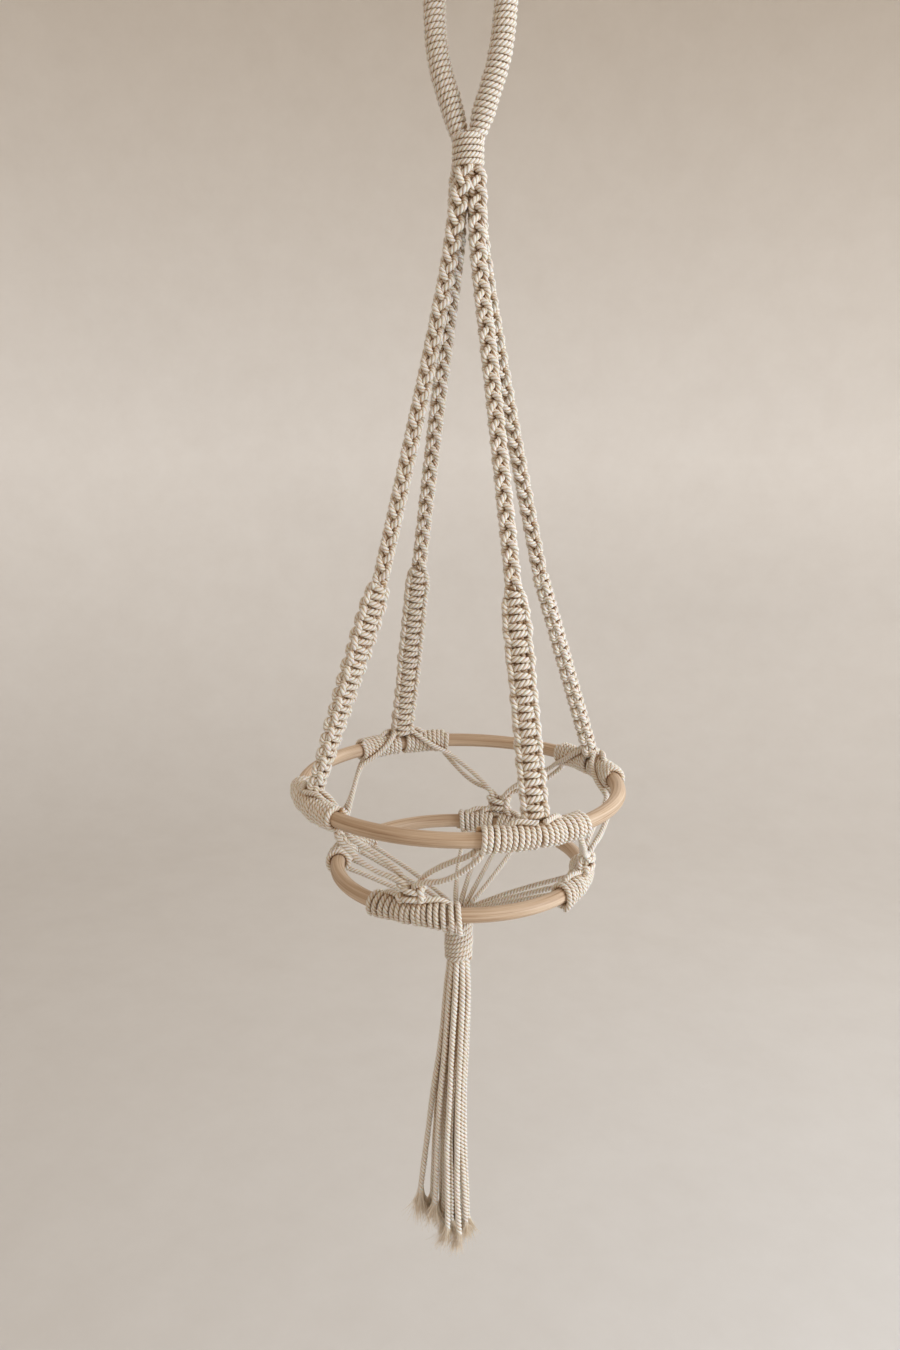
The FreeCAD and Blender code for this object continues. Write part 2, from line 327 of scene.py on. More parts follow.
def ramp(tree, factor, stops):
    """A colour ramp driven by a value."""
    made = tree.nodes.new("ShaderNodeValToRGB")
    elements = made.color_ramp.elements
    while len(elements) < len(stops):
        elements.new(0.5)
    for element, (position, colour) in zip(elements, stops):
        element.position = position
        element.color = (*colour, 1)
    tree.links.new(factor, made.inputs["Fac"])
    return made


def multiplied(tree, first, second):
    """The product of two colours."""
    mix = node(tree, "ShaderNodeMix", data_type="RGBA", blend_type="MULTIPLY")
    mix.inputs["Factor"].default_value = 1.0
    colour_a, colour_b, product = mix.inputs[6], mix.inputs[7], mix.outputs[2]
    tree.links.new(first, colour_a)
    tree.links.new(second, colour_b)
    return product


def stretched(tree, vector, scale):
    """A vector with each part scaled, for a noise that is longer one way than another."""
    made = node(tree, "ShaderNodeVectorMath", operation="MULTIPLY")
    made.inputs[1].default_value = scale
    tree.links.new(vector, made.inputs[0])
    return made.outputs["Vector"]


def add_bump(tree, shader, height, strength, distance):
    """Fine relief on a surface, from a value."""
    bump = node(tree, "ShaderNodeBump", Strength=strength, Distance=distance)
    tree.links.new(height, bump.inputs["Height"])
    tree.links.new(bump.outputs["Normal"], shader.inputs["Normal"])


def set_sockets(shader, values):
    """Sets a shader's sockets by name."""
    for name, value in values.items():
        shader.inputs[name].default_value = value


WHITE = (1.0, 1.0, 1.0)
GROOVE_PAINTED_SHADE = (0.56, 0.40, 0.25)    # painted shade on the cotton between two plies
SLOPE_PAINTED_SHADE = (0.70, 0.61, 0.49)   # and painted half shade on the side of a ply
HOLLOW_SHADE_REACH = 0.0055              # how far a neighbouring cord casts painted shade on the one beside it
FIBRES_ACROSS, FIBRES_ALONG = 2600, 420    # how many to a metre, across the cord and along it
GRAIN_ACROSS, GRAIN_ALONG = 900, 14        # the same for the cane's fine grain
STREAKS_ACROSS, STREAKS_ALONG = 170, 9     # and for its broad streaks
COTTON_SURFACE = {"Roughness": 0.92, "Specular IOR Level": 0.18, "Sheen Weight": 0.25,
                  "Sheen Roughness": 0.55, "Sheen Tint": (1.0, 0.96, 0.90, 1),
                  "Subsurface Weight": 0.20, "Subsurface Radius": (0.0030, 0.0016, 0.0008),
                  "Subsurface Scale": 1.0}


def cotton_material(name, pale, deep, dim):
    """Undyed cotton: cream fibres along the cord, with painted shade that makes it warmer and darker in the
    grooves and hollows.

    Pale is the colour on the crown of a ply. Deep and dim are the painted shade that it is multiplied by in
    a tight hollow and in an open one.
    """
    material, tree, shader = new_material(name)
    link = tree.links.new
    along = node(tree, "ShaderNodeAttribute", attribute_name="along")
    crown = node(tree, "ShaderNodeAttribute", attribute_name="crown")
    tint = node(tree, "ShaderNodeAttribute", attribute_name="tint")
    fibre_space = stretched(tree, along.outputs["Vector"], (FIBRES_ACROSS, FIBRES_ACROSS, FIBRES_ALONG))
    apart = node(tree, "ShaderNodeVectorMath", operation="ADD")
    link(fibre_space, apart.inputs[0])
    shift = node(tree, "ShaderNodeMath", operation="MULTIPLY")
    shift.inputs[1].default_value = 90.0
    link(tint.outputs["Fac"], shift.inputs[0])
    link(shift.outputs["Value"], apart.inputs[1])
    fibres = node(tree, "ShaderNodeTexNoise", Scale=1.0, Detail=5.0, Roughness=0.65, Distortion=0.6)
    link(apart.outputs["Vector"], fibres.inputs["Vector"])
    place = node(tree, "ShaderNodeTexCoord")
    blotch = node(tree, "ShaderNodeTexNoise", Scale=38.0, Detail=3.0, Roughness=0.5)
    link(place.outputs["Object"], blotch.inputs["Vector"])

    # Painted shade: the colour goes to tan in the grooves between the plies and to cream on their slopes.
    body = ramp(tree, crown.outputs["Fac"], [(0.0, GROOVE_PAINTED_SHADE), (0.42, SLOPE_PAINTED_SHADE), (0.82, pale)])
    fleck = ramp(tree, fibres.outputs["Fac"], [(0.30, (0.82, 0.79, 0.75)), (0.62, WHITE)])
    shade = ramp(tree, blotch.outputs["Fac"], [(0.35, (0.94, 0.925, 0.90)), (0.65, WHITE)])
    tone = ramp(tree, tint.outputs["Fac"], [(0.0, (0.94, 0.93, 0.915)), (1.0, WHITE)])
    # Painted shade: ambient occlusion darkens the colour towards warm brown in the hollows between cords.
    hollow = node(tree, "ShaderNodeAmbientOcclusion", Distance=HOLLOW_SHADE_REACH, samples=6)
    depth = ramp(tree, hollow.outputs["AO"], [(0.05, deep), (0.50, dim), (0.85, WHITE)])
    colour = body.outputs["Color"]
    for layer in (fleck, shade, tone, depth):
        colour = multiplied(tree, colour, layer.outputs["Color"])
    link(colour, shader.inputs["Base Color"])
    set_sockets(shader, COTTON_SURFACE)
    add_bump(tree, shader, fibres.outputs["Fac"], 0.55, 0.0004)
    return material


def cane_material():
    """Bent cane: tan wood with fine dark grain that runs round the ring."""
    material, tree, shader = new_material("bent_cane")
    link = tree.links.new
    along = node(tree, "ShaderNodeAttribute", attribute_name="along")
    grain_space = stretched(tree, along.outputs["Vector"], (GRAIN_ACROSS, GRAIN_ACROSS, GRAIN_ALONG))
    grain = node(tree, "ShaderNodeTexNoise", Scale=1.0, Detail=6.0, Roughness=0.6, Distortion=0.35)
    link(grain_space, grain.inputs["Vector"])
    broad_space = stretched(tree, along.outputs["Vector"], (STREAKS_ACROSS, STREAKS_ACROSS, STREAKS_ALONG))
    broad = node(tree, "ShaderNodeTexNoise", Scale=1.0, Detail=2.0, Roughness=0.5)
    link(broad_space, broad.inputs["Vector"])
    streak = ramp(tree, grain.outputs["Fac"], [(0.28, (0.30, 0.185, 0.105)), (0.40, (0.49, 0.35, 0.235)),
                                               (0.56, (0.60, 0.47, 0.35)), (0.75, (0.70, 0.575, 0.455))])
    wash = ramp(tree, broad.outputs["Fac"], [(0.35, (0.80, 0.74, 0.68)), (0.65, (1.05, 1.03, 1.0))])
    colour = multiplied(tree, streak.outputs["Color"], wash.outputs["Color"])
    link(colour, shader.inputs["Base Color"])
    rough = node(tree, "ShaderNodeMapRange")
    rough.inputs["To Min"].default_value = 0.42
    rough.inputs["To Max"].default_value = 0.62
    link(grain.outputs["Fac"], rough.inputs["Value"])
    link(rough.outputs["Result"], shader.inputs["Roughness"])
    shader.inputs["Specular IOR Level"].default_value = 0.4
    add_bump(tree, shader, grain.outputs["Fac"], 0.35, 0.0003)
    return material


# After pale come the painted shade for tight and for open hollows; the loose fibres get much lighter
# painted shade.
COTTON = cotton_material("cotton_cord", (0.81, 0.797, 0.775), (0.66, 0.39, 0.20), (0.92, 0.79, 0.64))
FRAYED = cotton_material("cotton_fibre", (0.98, 0.86, 0.71), (1.0, 0.90, 0.78), (1.0, 0.97, 0.92))
CANE_WOOD = cane_material()

# ---------------------------------------------------------------- hanging loop and neck

LOOP_HALF = [(0.0058, -0.1195), (0.0080, -0.1120), (0.0133, -0.0960), (0.0223, -0.0700),
             (0.0253, -0.0380), (0.0250, -0.0104), (0.0183, 0.0012), (0.0067, 0.0079)]
loop_right = [np.array([across, 0.0, height]) for across, height in LOOP_HALF]
loop_left = [point * (-1, 1, 1) for point in loop_right]
loop_line = route_line(loop_left + loop_right[::-1])

WHIP_PITCH = 0.0041
WHIP_WOBBLE = 0.00018
WHIP_PINCH = 0.34                  # how far its end turns draw in where the neck wrap covers them
CORE_CORDS, CORE_CORD = 6, 0.0026
CORE_RADIUS = 0.0017               # from the middle of the bundle to each of its cords


def add_loop():
    """The hanging loop: a bundle of cords bent over, with one cord wound closely round it."""
    whip = Cordage()
    whip_radius = LOOP_CORE + PACKED / 2 + 0.0002
    turns = coil_line(loop_line, whip_radius, WHIP_PITCH, (0, 1, 0), WHIP_WOBBLE, WHIP_PINCH)
    whip.cord(turns, PACKED * 1.04)
    piece = whip.piece("loop_whipping_cord", COTTON)
    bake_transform(piece)
    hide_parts("loop_whipping")
    core = Cordage()
    normals, sides = side_vectors(loop_line, (0, 1, 0))
    for number in range(CORE_CORDS):
        angle = number * math.pi / 3
        offset = CORE_RADIUS * (math.cos(angle) * normals + math.sin(angle) * sides)
        core.cord(loop_line + offset, CORE_CORD)
    piece = core.piece("loop_core_cords", COTTON)
    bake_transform(piece)
    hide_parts("loop_core")


WRAP_SLOPE = polar(1, 20, 0)       # the level direction in which a tilted wrap's turns climb


def wrap_line(top, bottom, pitch, wobble, tilt=0.0):
    """Close turns round the vertical axis, from a height down to another.

    Tilt is the slope of the uppermost turn; the turns below it get more and more level.
    """
    axis = np.array([[0, 0, top], [0, 0, (top + bottom) / 2], [0, 0, bottom]], float)
    line = coil_line(axis, BUNDLE + PACKED / 2, pitch, (1, 0, 0), wobble)
    line[:, 2] += tilt * (line @ WRAP_SLOPE) * (line[:, 2] - bottom) / (top - bottom)
    return line


INNER_SHARE, OUTER_SHARE = 0.45, 0.86    # of the bundle's radius


def packed_places(count_inner, count_outer, radius):
    """Places of cords squeezed into a round bundle: one in the middle and two rings."""
    places = [(0.0, 0.0)]
    for ring, count in ((INNER_SHARE, count_inner), (OUTER_SHARE, count_outer)):
        for number in range(count):
            places.append((radius * ring, 360 * number / count + 17 * ring))
    return places


NECK_WRAP_TOP, NECK_WRAP_BOTTOM = -0.1185, -0.1368
NECK_WRAP_PITCH, NECK_WRAP_WOBBLE = 0.0041, 0.00022
NECK_TOP, NECK_MIDDLE, NECK_FOOT = -0.1100, -0.1190, -0.1375
NECK_CORD = 0.0034                 # a cord's diameter where it is squeezed into the wrap
LEG_MIDDLE = 0.0080                # from the axis to the middle of a leg of the loop


def add_neck():
    """The wrapping knot that closes the loop, and the sixteen cords that pass through it."""
    wrap = Cordage()
    wrap.cord(wrap_line(NECK_WRAP_TOP, NECK_WRAP_BOTTOM, NECK_WRAP_PITCH, NECK_WRAP_WOBBLE), PACKED)
    piece = wrap.piece("neck_wrap_cord", COTTON)
    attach(piece, "neck")
    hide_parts("neck_wrap")
    bundle = Cordage()
    for radius, degrees in packed_places(5, 10, BUNDLE - 0.0012):
        foot = polar(radius, degrees, NECK_FOOT)
        middle = polar(radius, degrees, NECK_MIDDLE)
        side = 1 if foot[0] > 0 else -1
        top = np.array([side * LEG_MIDDLE + foot[0] * 0.45, foot[1] * 0.6, NECK_TOP])
        bundle.cord(route_line([foot, middle, top]), NECK_CORD)
    piece = bundle.piece("neck_bundle_cords", COTTON)
    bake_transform(piece)
    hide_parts("neck_bundle")


add_loop()
add_neck()

# ---------------------------------------------------------------- arms

# Centre line of a braid as (distance from the axis, degrees round it, z). The arms lean to one
# side, most at the neck, because it hangs turned over the rings.
BRAID_LINE = [(0.0030, 48, -0.1330), (0.0072, 46, -0.1400), (0.0094, 24, -0.1610), (0.0126, 8, -0.1930),
              (0.0360, 8, -0.2900), (0.0680, 5, -0.4170)]
BRAID_REPEAT = 0.0126              # from one lobe of the braid to the next one below it
BRAID_WIDE, BRAID_FLAT = 0.0051, 0.0021   # how far its cords swing, on its wide and its flat side
BRAID_TURN = math.radians(70)      # how far its wide side is turned
BRAID_MOUTH = 0.35                 # how narrow it starts, as a share of its full width
BRAID_WIDENS = 0.012               # the length over which it grows by its whole width
BULGE = 0.18                       # how much wider it is where its slack gathers
BULGE_PLACE, BULGE_LENGTH = 0.035, 0.026   # how far down the braid that is, and over what length
LADDER_TOP = (0.0681, 5, -0.4178)
LADDER_KNOTS = 14
LADDER_CORD = 0.00425
LADDER_MOUTH = 0.62                # how narrow the first knot starts, where the braid goes into it
LADDER_FULL = 1.13                 # how much its cords swell between the knots
KNOT_UNEVEN = 0.045                # how much the width of the knots varies, as a share

# How a working cord goes through half a square knot, as (share of the knot's length, across,
# outwards), the last two in cord diameters. The next half is its mirror image, and the other
# working cord is the same seen from the back.
WORKING_CORD = [(0.00, -1.74, -0.62), (0.18, -1.70, -0.72), (0.34, -1.52, -0.30), (0.36, -1.15, 0.66),
                (0.29, -0.40, 1.02), (0.27, 0.40, 1.02), (0.22, 1.10, 0.74), (0.13, 1.40, 0.10),
                (0.17, 1.66, -0.45), (0.33, 1.80, -0.68)]


def braid_lines(line):
    """Four cords plaited round a line: each crosses the middle and comes out on the other side."""
    line = evenly(line, 0.0008)
    normals, sides = side_vectors(line, (0, 1, 0))
    reach = lengths_along(line)
    phase = math.pi * reach / BRAID_REPEAT
    mouth = np.clip(BRAID_MOUTH + reach / BRAID_WIDENS, BRAID_MOUTH, 1)
    opening = mouth + BULGE * np.exp(-((reach - BULGE_PLACE) / BULGE_LENGTH) ** 2)
    opening = opening[:, None]
    first = math.cos(BRAID_TURN) * normals + math.sin(BRAID_TURN) * sides
    second = math.cos(BRAID_TURN) * sides - math.sin(BRAID_TURN) * normals
    wave = np.cos(phase)[:, None]
    swing = np.sin(phase)[:, None]
    for sign in (-1, 1):
        yield line + sign * opening * (BRAID_WIDE * wave * first - BRAID_FLAT * swing * second)
        yield line + sign * opening * (BRAID_FLAT * wave * first + BRAID_WIDE * swing * second)


def square_knots(top, bottom, front_top, front_foot, knots, diameter, narrow_top=1.0):
    """The four cords of a column of square knots, as lines: two straight cords and two tied ones.

    The column's front turns evenly from one direction at the top to another at the foot. Narrow_top
    is the width of the first knot's top as a share of the full width.
    """
    downwards = bottom - top
    whole = np.linalg.norm(downwards)
    downwards = downwards / whole
    axis_front = front_top - downwards * (front_top @ downwards)
    axis_front = axis_front / np.linalg.norm(axis_front)
    axis_side = np.cross(downwards, axis_front)
    turn = math.atan2(front_foot @ axis_side, front_foot @ axis_front)

    def place(share, across, out):
        angle = turn * share / knots
        across = across * (narrow_top + (1 - narrow_top) * min(1.0, max(0.0, share)))
        front = math.cos(angle) * axis_front + math.sin(angle) * axis_side
        side = math.cos(angle) * axis_side - math.sin(angle) * axis_front
        return top + downwards * (whole * share / knots) + (side * across + front * out) * diameter

    lines = []
    for across in (-0.5, 0.5):
        steps = np.linspace(-0.02, knots + 0.02, 3 + 2 * knots)
        lines.append(route_line([place(step, across, 0.0) for step in steps], 8))
    for side in (1, -1):
        points = []
        for half in range(2 * knots):
            first_half = half % 2 == 0
            mirror = 1 if first_half else -1
            closer = 0.02 if first_half else -0.025
            loose = 1 + KNOT_UNEVEN * chance.normal()
            for share, across, out in WORKING_CORD:
                low = half / 2 + share + (closer if abs(across) < 1.2 else 0.0)
                points.append(place(low, across * mirror * side * loose, out * side))
        points.append(place(knots, -1.3 * side, -0.4 * side))
        lines.append(route_line(points, 7))
    return lines


def ring_foot(degrees):
    """Where a ladder ends: just above the hitches on the upper ring."""
    top = polar(LADDER_TOP[0], degrees + LADDER_TOP[1], LADDER_TOP[2])
    seat = polar(UPPER_RADIUS, degrees, UPPER_HEIGHT)
    down = (seat - top) / np.linalg.norm(seat - top)
    return top, seat - down * (CANE + PACKED + 0.0004)


def add_arm(name, degrees, top_turn, foot_turn):
    """One arm: a round braid from the neck, then a flat ladder of square knots to the ring."""
    line = route_line([polar(out, lean, height) for out, lean, height in BRAID_LINE])
    braid = Cordage()
    for cord_line in braid_lines(line):
        braid.cord(turned(cord_line, degrees), PACKED * 1.10)
    piece = braid.piece(name + "_braided_cords", COTTON)
    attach(piece, "frame")
    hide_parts(name + "_braid")

    top, foot = ring_foot(degrees)
    ladder = Cordage()
    front_top = polar(1, degrees + top_turn, 0)
    front_foot = polar(1, degrees + foot_turn, 0)
    for cord_line in square_knots(top, foot, front_top, front_foot, LADDER_KNOTS, LADDER_CORD,
                                  LADDER_MOUTH):
        ladder.cord(cord_line, LADDER_CORD * LADDER_FULL)
    piece = ladder.piece(name + "_square_knots", COTTON)
    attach(piece, "frame")
    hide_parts(name + "_ladder")


for name, degrees, top_turn, foot_turn in ARMS:
    add_arm(name, degrees, top_turn, foot_turn)

# ---------------------------------------------------------------- cane rings


def add_ring(name, radius, height, body, node_name):
    """A ring of bent cane, very slightly uneven, with its grain running round it."""
    around, section = 288, 28      # vertices round the ring and round the cane
    turn = np.arange(around) * 2 * math.pi / around
    angle = np.arange(section) * 2 * math.pi / section
    thick = CANE * (1 + 0.012 * np.sin(3 * turn + 1) + 0.008 * np.sin(7 * turn))[:, None]
    thick = thick * (1 + 0.010 * np.cos(2 * angle + 0.6))[None, :]
    out = thick * np.cos(angle)
    lift = thick * np.sin(angle)
    ring = radius + out
    places = np.stack([ring * np.cos(turn)[:, None], ring * np.sin(turn)[:, None], height + lift], axis=-1)
    index = np.arange(around * section).reshape(around, section)
    onward = np.roll(index, -1, axis=0)
    quads = np.stack([index, onward, np.roll(onward, -1, axis=1), np.roll(index, -1, axis=1)], axis=-1)
    seam = np.abs((turn - math.pi)[:, None] * radius)
    along = np.stack([out, lift, np.broadcast_to(seam, out.shape)], axis=-1)
    cane = Cordage()
    cane.add(places.reshape(-1, 3), [quads.reshape(-1, 4)], along.reshape(-1, 3),
             np.ones(around * section), 0.5)
    piece = cane.piece(name, CANE_WOOD)
    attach(piece, body)
    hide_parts(node_name)


add_ring("upper_cane_ring", UPPER_RADIUS, UPPER_HEIGHT, "frame", "upper_ring")
add_ring("lower_cane_ring", LOWER_RADIUS, LOWER_HEIGHT, "basket", "lower_ring")

# ---------------------------------------------------------------- hitches on the rings


def on_ring(radius, height, degrees, section_degrees, out=WOUND):
    """Points at a distance from the cane's centre line, at an angle round its section."""
    degrees = np.radians(degrees)
    section = np.radians(section_degrees)
    ring = radius + out * np.cos(section)
    return np.stack([ring * np.cos(degrees), ring * np.sin(degrees), height + out * np.sin(section)],
                    axis=-1)


HITCH_FIRST, HITCH_LAST = 104.0, -100.0  # where a row of turns starts and ends round the cane
HITCH_DRIFT = 0.10                 # how unevenly the turns are spaced, in turns
HITCH_SWELL = 0.00022              # how unevenly they stand off the cane


def hitch_line(radius, height, start, finish, turns, slack=0.0, loosen=0.0):
    """Close turns of cord round the cane, from one angle round the ring to another.

    The turns pass over the outer side first. Slack lets the last turns hang lower than the rest,
    and loosen draws the turns together at the start and apart at the end.
    """
    count = int(turns * 2 * math.pi * WOUND / STEP)
    share = np.linspace(0, 1, count)
    section = HITCH_FIRST - share * (360 * turns + HITCH_FIRST - HITCH_LAST)
    whole_turns = np.arange(int(turns) + 3)
    drift = HITCH_DRIFT * np.interp(share * turns, whole_turns, chance.normal(size=len(whole_turns)))
    spaced = share - loosen * share * (1 - share)
    degrees = start + (finish - start) * (spaced + drift * share * (1 - share) * 4 / turns)
    under = np.clip(-np.sin(np.radians(section)), 0, 1)
    swell = HITCH_SWELL * np.interp(share * turns, whole_turns, chance.normal(size=len(whole_turns)))
    return on_ring(radius, height, degrees, section, WOUND + swell + slack * under * share ** 3)


# The cord that crosses each row of turns on top, as (degrees along the ring, degrees round the
# cane, distance from the cane's centre line).
OVER_CORD = [(0.9, 62, 0.0117), (4.0, 78, 0.0116), (6.4, 92, 0.0114), (8.0, 100, 0.0080)]


def add_hitches(name, body, radius, height, centre, half_span, turns, slacks, loosen):
    """A set of hitches: a row of close turns wound out to each side of the arm or knot."""
    lashing = Cordage()
    for direction, slack in zip((-1, 1), slacks):
        start = centre + direction * 0.7
        finish = centre + direction * (half_span - 1.0)
        lashing.cord(hitch_line(radius, height, start, finish, turns, slack, loosen), PACKED * 1.02)
        spreads = (1.0, 1.9) if body == "basket" else (1.2,)
        for spread in spreads:
            lashing.cord(route_line([on_ring(radius, height, centre + direction * place * spread,
                                             section, out) for place, section, out in OVER_CORD]), PACKED)
    piece = lashing.piece(name + "_hitch_turns", COTTON)
    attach(piece, body)
    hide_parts(name + "_hitches")


UPPER_HALF_SPAN, UPPER_TURNS = 20.5, 9.4
LOWER_HALF_SPAN, LOWER_TURNS = 21.0, 6.9
LOWER_LOOSEN = 0.18
for name, degrees, top_turn, foot_turn in ARMS:
    add_hitches(name, "frame", UPPER_RADIUS, UPPER_HEIGHT, degrees, UPPER_HALF_SPAN, UPPER_TURNS,
                (0.0, 0.0), 0.0)
for name, degrees in SIDES:
    slacks = (0.0012, 0.0062) if name == "front" else (0.0032, 0.0012)
    add_hitches(name, "basket", LOWER_RADIUS, LOWER_HEIGHT, degrees, LOWER_HALF_SPAN, LOWER_TURNS,
                slacks, LOWER_LOOSEN)

# ---------------------------------------------------------------- net between the rings

KNOT_FOOT = LOWER_HEIGHT + CANE + PACKED + 0.0005
KNOT_LENGTH = 0.0125
KNOT_RADIUS = LOWER_RADIUS + 0.0055
BEND_HEIGHT = UPPER_HEIGHT - 0.0130      # where the net cords come out from under the upper ring
NET_SAG = 0.0030

# How the two cords of a pair come round the upper ring, as (degrees along the ring, degrees round
# the cane, distance from the cane's centre line).
INNER_RUN = [(3.4, 108, 0.0128), (6.0, 138, 0.0123), (10.5, 172, 0.0118), (15.5, 202, 0.0117),
             (20.0, 230, 0.0118)]
OUTER_RUN = [(17.5, 250, 0.0078), (18.6, 262, 0.0100)]


def add_net(name, degrees):
    """Two pairs of net cords, slanting in from the upper hitches, and the knot that joins them.

    The inner cord of a pair is the ladder's own: it runs along the inside of the ring first.
    """
    facing = polar(1, degrees, 0)
    sideways = polar(1, degrees + 90, 0)
    top = polar(KNOT_RADIUS, degrees, KNOT_FOOT + KNOT_LENGTH)
    foot = polar(KNOT_RADIUS, degrees, KNOT_FOOT - 0.0005)
    knot = Cordage()
    for line in square_knots(top, foot, facing, facing, 1, PACKED * 1.08):
        knot.cord(line, PACKED * 1.12)
    piece = knot.piece(name + "_square_knot", COTTON)
    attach(piece, "basket")
    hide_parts(name + "_knot")
    for direction, handed in ((-1, "left"), (1, "right")):
        pair = Cordage()
        arm = degrees + direction * 45
        for layer, run, knot_aside, end_aside in ((-1, INNER_RUN, 0.0040, 0.0046),
                                                  (1, OUTER_RUN, 0.0034, 0.0022)):
            start = degrees + direction * (24.5 + 1.4 * layer)
            route = [on_ring(UPPER_RADIUS, UPPER_HEIGHT, arm - direction * place, section, out)
                     for place, section, out in run]
            bend = polar(UPPER_RADIUS - 0.002 + 0.0032 * layer, start, BEND_HEIGHT)
            near = polar(KNOT_RADIUS + 0.0026 * layer, degrees, KNOT_FOOT + KNOT_LENGTH + 0.0030)
            near = near + sideways * direction * knot_aside
            inside = polar(KNOT_RADIUS + 0.0008 * layer, degrees, KNOT_FOOT + KNOT_LENGTH - 0.0040)
            inside = inside + sideways * direction * end_aside
            middle = (bend + near) / 2 + np.array([0, 0, -NET_SAG - 0.0054 * layer])
            pair.cord(route_line(route + [bend, middle, near, inside]), PACKED * 1.04)
        piece = pair.piece("net_cords_%s_%s" % (name, handed), COTTON)
        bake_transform(piece)
        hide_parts("net_pair_%s_%s" % (name, handed))


for name, degrees in SIDES:
    add_net(name, degrees)

# ---------------------------------------------------------------- base cords and gather

WRAP_TOP, WRAP_BOTTOM = -0.6925, -0.7200
WRAP_PITCH, WRAP_WOBBLE, WRAP_TILT = 0.00395, 0.00025, 0.42
GATHER_RADIUS = 0.0150             # where the base cords come together over the wrap


def add_base():
    """Sixteen cords from the lower ring to the middle, where they turn down into the tassel."""
    gather = Cordage()
    for name, degrees in SIDES:
        group = Cordage()
        for step in (-1.5, -0.5, 0.5, 1.5):
            spoke = degrees + 11 * step
            leave = on_ring(LOWER_RADIUS, LOWER_HEIGHT, spoke, -120.0)
            under = polar(LOWER_RADIUS - 0.0118, spoke, LOWER_HEIGHT - 0.0088)
            halfway = polar(0.0480, degrees + 14 * step, LOWER_HEIGHT - 0.0218)
            near = polar(GATHER_RADIUS, degrees + 21 * step, -0.6755)
            turn = polar(0.0078, degrees + 22.5 * step, -0.6800)
            down = polar(0.0058, degrees + 22.5 * step, -0.6950)
            tail = polar(0.0050, degrees + 22.5 * step, -0.7180)
            whole = evenly(route_line([leave, under, halfway, near, turn, down, tail]))
            split = int(np.argmax(np.hypot(whole[:, 0], whole[:, 1]) < GATHER_RADIUS))
            group.cord(whole[:split + 3], PACKED)
            gather.cord(whole[split:], PACKED * 0.96)
        piece = group.piece(name + "_base_strands", COTTON)
        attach(piece, "basket")
        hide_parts(name + "_base_cords")
    piece = gather.piece("gathered_cords", COTTON)
    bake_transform(piece)
    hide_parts("gather_bundle")
    wrap = Cordage()
    wrap.cord(wrap_line(WRAP_TOP, WRAP_BOTTOM, WRAP_PITCH, WRAP_WOBBLE, WRAP_TILT), PACKED * 1.04)
    piece = wrap.piece("tassel_wrap_cord", COTTON)
    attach(piece, "tassel")
    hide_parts("tassel_wrap")


add_base()

# ---------------------------------------------------------------- tassel

# The tassel as (lean, z, spread, stray). Lean is how far the bundle hangs to the side at LEAN_SIDE
# degrees, spread multiplies each cord's place in the bundle, and stray is how much further to that
# side a cord that hangs apart from the others goes.
LEAN_SIDE = 200
TASSEL_LINE = [(0.0000, -0.7200, 1.00, 0.0000), (0.0006, -0.7500, 1.00, 0.0000),
               (0.0025, -0.7940, 1.07, 0.0009), (0.0050, -0.8380, 1.15, 0.0030),
               (0.0056, -0.8840, 1.22, 0.0060), (0.0040, -0.9260, 1.32, 0.0110)]
TASSEL_PLACES = [(0.0, 0)] + [(0.00475, 72 * k + 10) for k in range(5)]
TASSEL_PLACES += [(0.00935, 36 * k + 28) for k in range(10)]
TASSEL_TAILS = [0.034, 0.030, 0.036, 0.033, 0.038, 0.031, 0.035, 0.037,
                0.028, 0.030, 0.016, 0.008, 0.014, 0.031, 0.037, 0.034]
STRAY_SHARES = {11: 0.35, 12: 1.0, 13: 0.55}
TIP_FLARE = 6.0                    # how much the spread grows for each metre of tail
STRAND_TOP = -0.7080               # where the cords start, inside the wrap
STRAND_LAY, STRAND_GROOVE = 2.1, 0.31
FRAY_LENGTH = 0.034                # the longest fibres past a cord's end, less a share of its tail
FRAY_FIBRES = 260
FRAY_ROOT = 0.005                  # how far the fibres start inside the cord's end
FIBRE_RADIUS = 0.00020


def spline_points(name, route):
    """Points along a smooth curve that has the route's points as its control points."""
    data = bpy.data.curves.new(name, "CURVE")
    data.dimensions = "3D"
    data.resolution_u = 24
    spline = data.splines.new("NURBS")
    spline.points.add(len(route) - 1)
    for point, place in zip(spline.points, route):
        point.co = (*place, 1)
    spline.order_u = 3
    spline.use_endpoint_u = True
    curve = bpy.data.objects.new(name, data)
    bpy.context.scene.collection.objects.link(curve)
    mesh = bpy.data.meshes.new_from_object(curve.evaluated_get(bpy.context.evaluated_depsgraph_get()))
    points = np.array([vertex.co[:] for vertex in mesh.vertices])
    bpy.data.objects.remove(curve)
    bpy.data.meshes.remove(mesh)
    bpy.data.curves.remove(data)
    return points


def add_fray(name, tip, heading, longest):
    """The loose fibres at the end of a cord, which spread and curl as the plies open."""
    heading = heading / np.linalg.norm(heading)
    fray = Cordage()
    lean = chance.normal(size=3) * 0.09
    for number in range(FRAY_FIBRES):
        spread = chance.normal(size=3)
        spread = spread - heading * (spread @ heading)
        root = tip - heading * FRAY_ROOT + unit(spread) * CORD * 0.44 * math.sqrt(chance.uniform())
        reach = longest * chance.uniform(0.60, 1.0)
        curl = (spread * 0.13 + lean) * reach
        bend = chance.normal(size=3) * 0.0008
        points = [root,
                  root + heading * reach * 0.35 + curl * 0.2,
                  root + heading * reach * 0.7 + curl * 0.7 + bend,
                  root + heading * reach + curl * 1.5 + bend * 1.5]
        fray.fibre(route_line(points, 4), FIBRE_RADIUS, chance.uniform(0.3, 1.0))
    return fray.piece(name, FRAYED)


